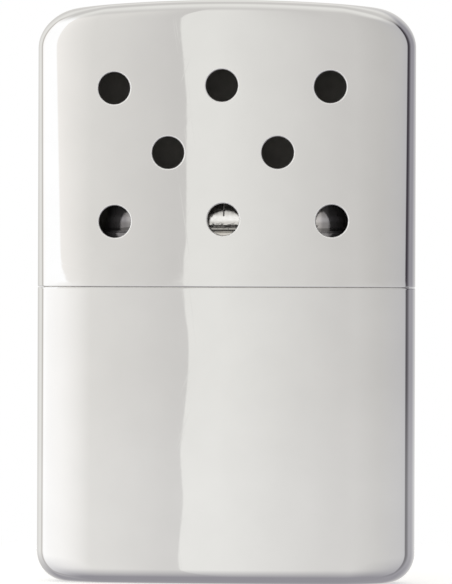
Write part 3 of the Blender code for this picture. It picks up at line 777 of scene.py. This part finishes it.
def build_hood():
    """The hood: a bowed, sloping wall, a rolled roof, two windows with a slot under each, three slits."""
    foot, top, wall, roll = HOOD_LOW.z, HOOD_HIGH.z, HOOD_WALL, HOOD_ROLL
    slope_top = top - roll * (1 - math.sin(FACE_LEAN))
    roll_inset = face_inset(slope_top) + roll * math.cos(FACE_LEAN)
    lean = math.degrees(FACE_LEAN)
    rim_in, rim_out = wall_ends(0.0, wall, foot, 0.1 * MM)
    profile = hollow_bend(roll_inset, top - roll, roll - wall, 90, lean, 16)
    profile += hollow_bend(BOW, BOW_FOOT, BOW - wall, lean, 0, 6)
    profile += rim_in + rim_out + bend(BOW, BOW_FOOT, BOW, 0, lean, 10)
    profile += bend(roll_inset, top - roll, roll, lean, 90, 20)
    hood = swept("hood", stadium_rows(HOOD_WIDTH, HOOD_DEPTH, profile), [nickel], closed=False, capped=True)
    # The window and the narrow slot under it, with a strip of the wall between them
    outlines = [[(x, SKIRT_HIGH.z + middle + z) for x, z, _, _ in stadium(WINDOW_LENGTH, height)]
                for middle, height in ((0.58 * MM, 0.40 * MM), (0.08 * MM, 0.16 * MM))]
    slit_pitch, slit_foot, slit_half = 6.4 * MM, SKIRT_HIGH.z + 1.9 * MM, 0.09 * MM
    for step in (-1, 0, 1):
        middle = step * slit_pitch
        outlines.append([(middle + slit_half * math.cos(angle), slit_foot + slit_half * (1 + math.sin(angle)))
                         for angle in np.linspace(math.pi, 2 * math.pi, 9)] +
                        [(middle + slit_half, top + MM), (middle - slit_half, top + MM)])
    reach = HOOD_DEPTH / 2 + MM
    cut_away(hood, "hood_tool", [prism(outline, 1, -reach, reach) for outline in outlines])
    smooth_by_angle(hood)
    return hood


def build_tray():
    """The tray under the mat: a thin plate with two rows of round holes."""
    foot, top = TRAY_LOW.z, TRAY_HIGH.z
    width, depth = TRAY_HIGH.x - TRAY_LOW.x, TRAY_HIGH.y - TRAY_LOW.y
    edge, flat = 0.06 * MM, 0.8 * MM
    profile = [(flat, foot, -math.pi / 2)] + bend(edge, foot + edge, edge, -90, 0, 3)
    profile += bend(edge, top - edge, edge, 0, 90, 3) + [(flat, top, math.pi / 2)]
    tray = swept("tray", stadium_rows(width, depth, profile), [nickel], closed=False, capped=True)
    hole_radius, hole_pitch, columns, off_middle = 0.8 * MM, 2.8 * MM, 9, 1.2 * MM
    holes = []
    for row in (-off_middle, off_middle):
        for column in range(columns):
            middle = (column - columns // 2) * hole_pitch
            outline = [(middle + hole_radius * math.cos(turn), row + hole_radius * math.sin(turn))
                       for turn in np.linspace(0, 2 * math.pi, 24, endpoint=False)]
            holes.append(prism(outline, 2, foot - MM, top + MM))
    cut_away(tray, "tray_tool", holes)
    smooth_by_angle(tray)
    return tray


def keep_in_hood(points):
    """Press points in where they would come through the hood's bowed face or its rolled roof."""
    straight, room = (HOOD_WIDTH - HOOD_DEPTH) / 2, 0.45 * MM
    turn_foot = HOOD_HIGH.z - HOOD_ROLL
    past = np.clip((points[:, 2] - turn_foot) / (HOOD_ROLL - room), 0.0, 1.0)
    rounded = (HOOD_ROLL - room) * (1 - np.sqrt(1 - past ** 2))
    reach = HOOD_DEPTH / 2 - room - face_inset(np.minimum(points[:, 2], turn_foot)) - rounded
    beyond = np.maximum(np.abs(points[:, 0]) - straight, 0.0)
    shrink = np.minimum(1.0, reach / np.maximum(np.hypot(beyond, points[:, 1]), 1e-9))
    points[:, 0] = np.sign(points[:, 0]) * (np.minimum(np.abs(points[:, 0]), straight) + beyond * shrink)
    points[:, 1] *= shrink


def soft_piece(name, node, facet, drawn_in, lumps, finish):
    """Loose fibre in the place of a node: even facets, drawn in a little, lumpy and pilled."""
    source = bpy.data.objects[node]
    mesh = source.data.copy()
    mesh.transform(source.matrix_world)
    mesh.materials.clear()
    mesh.materials.append(finish)
    piece = bpy.data.objects.new(name, mesh)
    bpy.context.collection.objects.link(piece)
    remesh = piece.modifiers.new("facets", "REMESH")
    remesh.mode = "VOXEL"
    remesh.voxel_size = facet
    remesh.use_smooth_shade = True
    settle(piece)
    count = len(piece.data.vertices)
    points, normals = np.empty(count * 3), np.empty(count * 3)
    piece.data.vertices.foreach_get("co", points)
    piece.data.vertex_normals.foreach_get("vector", normals)
    depths = []
    for x, y, z in points.reshape(-1, 3) / MM:
        place = Vector((x, y, z))
        depths.append(0.5 + 0.5 * noise.noise(place * 0.45) + 0.35 * noise.noise(place * 2.1))
    points -= normals * np.repeat(drawn_in + lumps * np.array(depths), 3)
    if node == "catalyst_mat":
        keep_in_hood(points.reshape(-1, 3))
    piece.data.vertices.foreach_set("co", points)
    piece.data.update()
    return piece


def strands(name, paths, radius, finish):
    """Fibres as three-sided threads along their paths, thinner towards the tip."""
    points, faces = [], []
    for path in paths:
        start = len(points)
        for place, point in enumerate(path):
            ahead = path[min(place + 1, len(path) - 1)] - path[max(place - 1, 0)]
            side = ahead.orthogonal().normalized()
            across = ahead.cross(side).normalized()
            thick = radius * (1 - 0.6 * place / (len(path) - 1))
            for turn in (0.0, 2 * math.pi / 3, 4 * math.pi / 3):
                points.append(point + side * thick * math.cos(turn) + across * thick * math.sin(turn))
        for place in range(len(path) - 1):
            for corner in range(3):
                low, following = start + 3 * place + corner, start + 3 * place + (corner + 1) % 3
                faces.append((low, following, following + 3, low + 3))
        faces.append((start + 2, start + 1, start))
        last = start + 3 * (len(path) - 1)
        faces.append((last, last + 1, last + 2))
    return make_piece(name, points, faces, [finish])


STRAYS_A_SIDE = 330
LAID_A_SIDE = 760


def stray_fibres(chance):
    """Fibres of the mat that stray out of the hood's two windows and over its face."""
    wall = HOOD_DEPTH / 2
    paths = []
    for side in (-1, 1):
        for _ in range(STRAYS_A_SIDE):
            x = chance.uniform(-0.49, 0.49) * WINDOW_LENGTH
            z = SKIRT_HIGH.z + chance.uniform(0.52, 0.80) * MM
            out = chance.uniform(0.03, 0.22) * MM
            path = [Vector((x, side * (wall - 0.5 * MM), z)), Vector((x, side * (wall + 0.03 * MM), z))]
            heading = Vector((chance.uniform(-1.3, 1.3), 0.0, chance.uniform(-0.2, 0.9)))
            for _ in range(chance.randint(2, 5)):
                heading += Vector((chance.uniform(-0.7, 0.7), 0.0, chance.uniform(-0.4, 0.3)))
                following = path[-1] + heading.normalized() * 0.13 * MM
                following.y = side * (wall + 0.03 * MM + out * min(1.0, (len(path) - 1) / 2))
                path.append(following)
            paths.append(path)
    return paths


def laid_fibres(chance):
    """Fibres that lie along the windows, one over another, just within the wall."""
    wall = HOOD_DEPTH / 2
    low, high = SKIRT_HIGH.z + 0.36 * MM, SKIRT_HIGH.z + 0.78 * MM
    paths = []
    for side in (-1, 1):
        for _ in range(LAID_A_SIDE):
            x, z = chance.uniform(-0.495, 0.44) * WINDOW_LENGTH, chance.uniform(low, high)
            depth = chance.uniform(-0.04, 0.12) * MM
            path = []
            for _ in range(chance.randint(4, 7)):
                x += chance.uniform(0.12, 0.26) * MM
                z = min(max(z + chance.uniform(-0.10, 0.10) * MM, low), high)
                path.append(Vector((x, side * (wall - depth - abs(chance.gauss(0, 0.03)) * MM), z)))
            paths.append(path)
    return paths


# The build

chrome = polished_chrome_plate()
inside_shade = shade_darkened_plate()
rim_highlight = satin_vent_edge_highlight()
nickel = nickelled_steel()
collar_plate = tank_collar_plate()
glass_wool = platinised_glass_wool()
platinum_black = platinum_black_fibre()
felt = wool_felt()
cotton = cotton_wadding()

seam_gap = COVER_LOW.z - SEAM
cover_rim, tank_rim = COVER_LOW.z - SEAM_SHARE * seam_gap, SEAM + SEAM_SHARE * seam_gap
cover = case_half("cover", TOP_END, CASE_HEIGHT, 1, cover_rim, [chrome, inside_shade, rim_highlight], VENTS)
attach(cover, "cover")
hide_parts("cover_shell")

tank = case_half("tank", BASE_END, TANK_LOW.z, -1, tank_rim, [chrome, inside_shade])
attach(tank, "tank")
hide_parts("tank_shell")

chance = random.Random(SEED)
strays = strands("mat_strays", stray_fibres(chance), 0.022 * MM, platinum_black)
laid = strands("mat_strands", laid_fibres(chance), 0.028 * MM, glass_wool)
for piece, body, slot, nodes in (
        (build_collar(), "tank", "chrome_case", ["tank_collar"]),
        (build_neck(), "tank", "chrome_case", ["filler_neck"]),
        (build_skirt(), "burner", "burner_metal", ["burner_skirt"]),
        (build_hood(), "burner", "burner_metal", ["burner_hood"]),
        (build_tray(), "burner", "burner_metal", ["catalyst_tray"]),
        (soft_piece("mat", "catalyst_mat", 0.3 * MM, 0.0, 0.25 * MM, glass_wool), "burner", "catalyst_fibre",
         ["catalyst_mat"]),
        (strays, "burner", "catalyst_fibre", []),
        (laid, "burner", "catalyst_fibre", []),
        (soft_piece("felt_pad", "wick_felt", 0.35 * MM, 0.0, 0.12 * MM, felt), "tank", "felt", ["wick_felt"]),
        *((soft_piece(side + "_wad", "wadding_" + side, 0.6 * MM, 0.05 * MM, 0.35 * MM, cotton),
           "tank", "cotton", ["wadding_" + side]) for side in ("front", "middle", "back"))):
    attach(piece, body)
    if nodes:
        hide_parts(*nodes)


# Floor, studio and camera

def build_floor():
    radius, count = 0.12, 96
    turns = [2 * math.pi * step / count for step in range(count)]
    points = [(0, 0, 0)] + [(radius * math.cos(turn), radius * math.sin(turn), 0) for turn in turns]
    faces = [(0, step + 1, (step + 1) % count + 1) for step in range(count)]
    floor = make_piece("floor", points, faces, [painted_board()])
    floor.visible_glossy = False


# Tones of the studio's surfaces
SCREEN, LIT, BRIGHT, PALE, MIDDLING, DIM = "#fefdfc", "#f0ede9", "#e1e0dc", "#d9d7d3", "#c9c7c4", "#bfbdba"
POST, COOL_DIM, COOL_GREY, GAP = "#b4afa9", "#b5b4b6", "#929096", "#3e3a40"
# Where they stand round the object, in degrees from the front towards +X.
# By the left: the back wall, a lit side wall, its darker post, a white screen, and a flat in its light
LEFT_ROOM = [(-180, PALE), (-150, MIDDLING), (-128, BRIGHT), (-116, BRIGHT), (-108, POST), (-100, SCREEN),
             (-92, SCREEN), (-56, LIT), (-17, PALE), (-9, MIDDLING)]
# By the right: a brighter flat that dims as it runs back, a dark gap, a cool side wall and the back wall
RIGHT_ROOM = [(-10, BRIGHT), (-5, BRIGHT), (6, MIDDLING), (38, DIM), (86, COOL_DIM), (90, GAP), (97, GAP),
              (110, COOL_GREY), (127, COOL_GREY), (144, COOL_DIM), (180, PALE)]
# From the front horizon over the top to the back one: a plain ceiling with two bright panels
OVERHEAD = [(0, MIDDLING), (50, MIDDLING), (72, BRIGHT), (83, BRIGHT), (95, MIDDLING), (108, MIDDLING),
            (125, BRIGHT), (180, BRIGHT)]
# The edges of the screen and of the brighter flat, and the height of the flats' foot, in degrees
SCREEN_EDGE = -57.0
STEP_ANGLE = -8.05
FLAT_FOOT = 0.106
# How far the flats' edges lean outwards as they rise
FLAT_LEAN = 8.1
# How much of white the screen's light adds under the flats, near the screen and far from it
SPILL_NEAR, SPILL_FAR = 0.42, 0.05
# How much farther back the dark gap stands under the flats
GAP_SHIFT = 2.5
PLATE_REFLECTANCE = 0.80


def build_studio():
    world = bpy.data.worlds.new("studio")
    bpy.context.scene.world = world
    world.use_nodes = True
    tree = world.node_tree
    tree.nodes.clear()
    add = functools.partial(add_node, tree)
    mix = functools.partial(add, "ShaderNodeMix", output=2, data_type="RGBA")
    white = srgb("#ffffff")

    direction = add("ShaderNodeTexCoord", output="Generated")
    x, y, z = add("ShaderNodeSeparateXYZ", (direction,), output=None).outputs
    front = add("ShaderNodeMath", (y, -1.0), operation="MULTIPLY")
    around = add("ShaderNodeMath", (x, front), operation="ARCTAN2")
    compass = add("ShaderNodeMath", (around,), operation="DEGREES")
    climb = add("ShaderNodeMath", (z,), operation="ARCSINE")
    rise = add("ShaderNodeMath", (climb,), operation="DEGREES")

    # The screen's edge and the dark gap both lean outwards as they rise
    lean = add("ShaderNodeMapRange", (rise, 0.0, 3.0, 0.0, FLAT_LEAN))
    side = add("ShaderNodeMath", (compass,), operation="SIGN")
    off_middle = add("ShaderNodeMath", (compass,), operation="ABSOLUTE")
    for factor in (side, add("ShaderNodeMapRange", (off_middle, 20.0, 50.0))):
        lean = add("ShaderNodeMath", (lean, factor), operation="MULTIPLY")
    leaning = add("ShaderNodeMath", (compass, lean), operation="SUBTRACT")

    def quarter_round(high, width):
        """How far a flat's edge draws in at its rounded lower corner, from that height down to its foot."""
        low = add("ShaderNodeMapRange", (rise, FLAT_FOOT, high, 1.0, 0.0))
        square = add("ShaderNodeMath", (low, low), operation="MULTIPLY")
        rest = add("ShaderNodeMath", (1.0, square), operation="SUBTRACT")
        root = add("ShaderNodeMath", (rest, 0.5), operation="POWER")
        drawn = add("ShaderNodeMath", (1.0, root), operation="SUBTRACT")
        return add("ShaderNodeMath", (drawn, width), operation="MULTIPLY")

    screen_edge = add("ShaderNodeMath", (quarter_round(FLAT_FOOT + 0.42, 15.0), SCREEN_EDGE), operation="ADD")
    step_edge = quarter_round(FLAT_FOOT + 0.10, 1.4)
    step_edge = add("ShaderNodeMath", (STEP_ANGLE, step_edge), operation="SUBTRACT")
    shift = add("ShaderNodeMapRange", (compass, 60.0, 85.0, 0.0, GAP_SHIFT))
    shifted = add("ShaderNodeMath", (compass, shift), operation="SUBTRACT")
    levels = []
    for angle, edge in ((leaning, step_edge), (shifted, STEP_ANGLE)):
        halves = []
        for stops, start, end in ((LEFT_ROOM, -180, 0), (RIGHT_ROOM, -10, 180)):
            share = add("ShaderNodeMapRange", (angle, start, end))
            halves.append(add("ShaderNodeValToRGB", (share,), as_shares(stops, start, end)))
        past = add("ShaderNodeMath", (compass, edge), operation="SUBTRACT")
        past = add("ShaderNodeMapRange", (past, -0.06, 0.06))
        levels.append(mix({0: past, 6: halves[0], 7: halves[1]}))
    flats, foot = levels
    screen = add("ShaderNodeMath", (leaning, screen_edge), operation="SUBTRACT")
    screen = add("ShaderNodeMapRange", (screen, 1.4, -0.4))
    beside = add("ShaderNodeMapRange", (leaning, -94.0, -88.0))
    screen = add("ShaderNodeMath", (screen, beside), operation="MULTIPLY")
    flats = mix({0: screen, 6: flats, 7: white})
    # Under the flats the screen's light spills over the floor, and the board at the object's foot glows
    spill = add("ShaderNodeMapRange", (compass, SCREEN_EDGE, -18.0, SPILL_NEAR, SPILL_FAR))
    beside = add("ShaderNodeMapRange", (compass, -104.0, -98.0))
    spill = add("ShaderNodeMath", (spill, beside), operation="MULTIPLY")
    glow = add("ShaderNodeMapRange", (rise, -0.9, -2.6, 0.0, 0.11), interpolation_type="SMOOTHSTEP")
    for share in (spill, glow):
        foot = mix({0: share, 6: foot, 7: white})
    above_foot = add("ShaderNodeMapRange", (rise, FLAT_FOOT - 0.01, FLAT_FOOT + 0.01))
    level = mix({0: above_foot, 6: foot, 7: flats})

    # Overhead the compass angle gives way to the angle over the top, and underfoot to the dark floor
    over = add("ShaderNodeMath", (z, front), operation="ARCTAN2")
    over = add("ShaderNodeMath", (over,), operation="DEGREES")
    over = add("ShaderNodeMapRange", (over, 0.0, 180.0))
    arch = add("ShaderNodeValToRGB", (over,), as_shares(OVERHEAD, 0, 180))
    overhead = add("ShaderNodeMapRange", (z, 0.57, 0.82), interpolation_type="SMOOTHSTEP")
    level = mix({0: overhead, 6: level, 7: arch})
    backwards = add("ShaderNodeMapRange", (front, 0.0, -0.4))
    downwards = add("ShaderNodeMapRange", (rise, -2.0, -42.0, 0.0, 0.95))
    behind = add("ShaderNodeMath", (backwards, downwards), operation="MULTIPLY")
    below = add("ShaderNodeMapRange", (rise, -9.0, -66.0))
    underfoot = add("ShaderNodeMath", (below, behind), operation="MAXIMUM")
    level = mix({0: underfoot, 6: level, 7: srgb(COOL_GREY)})

    # Camera and transmitted rays see plain white; the rest see the studio
    studio = add("ShaderNodeBackground", {"Color": level, "Strength": 1 / PLATE_REFLECTANCE})
    plain = add("ShaderNodeBackground", {"Color": white, "Strength": 1.0})
    both = add("ShaderNodeMixShader", (seen_straight(tree), studio, plain))
    add("ShaderNodeOutputWorld", (both,), output=None)


def build_camera():
    """A long lens, a little to the right of square on."""
    lens, sensor, distance, near = 280, 36, 0.6, 0.01
    yaw, roll = math.radians(4.7), math.radians(0.2)
    aim = Vector((0, 0, 38.28 * MM))
    data = bpy.data.cameras.new("camera")
    data.lens, data.sensor_width, data.clip_start = lens, sensor, near
    camera = bpy.data.objects.new("camera", data)
    bpy.context.collection.objects.link(camera)
    back = Vector((math.sin(yaw), -math.cos(yaw), 0))
    camera.location = aim + back * distance
    camera.rotation_mode = "QUATERNION"
    camera.rotation_quaternion = back.to_track_quat("Z", "Y") @ Quaternion((0, 0, 1), roll)
    bpy.context.scene.camera = camera


build_floor()
build_studio()
build_camera()
bpy.context.scene.view_settings.view_transform = "Standard"
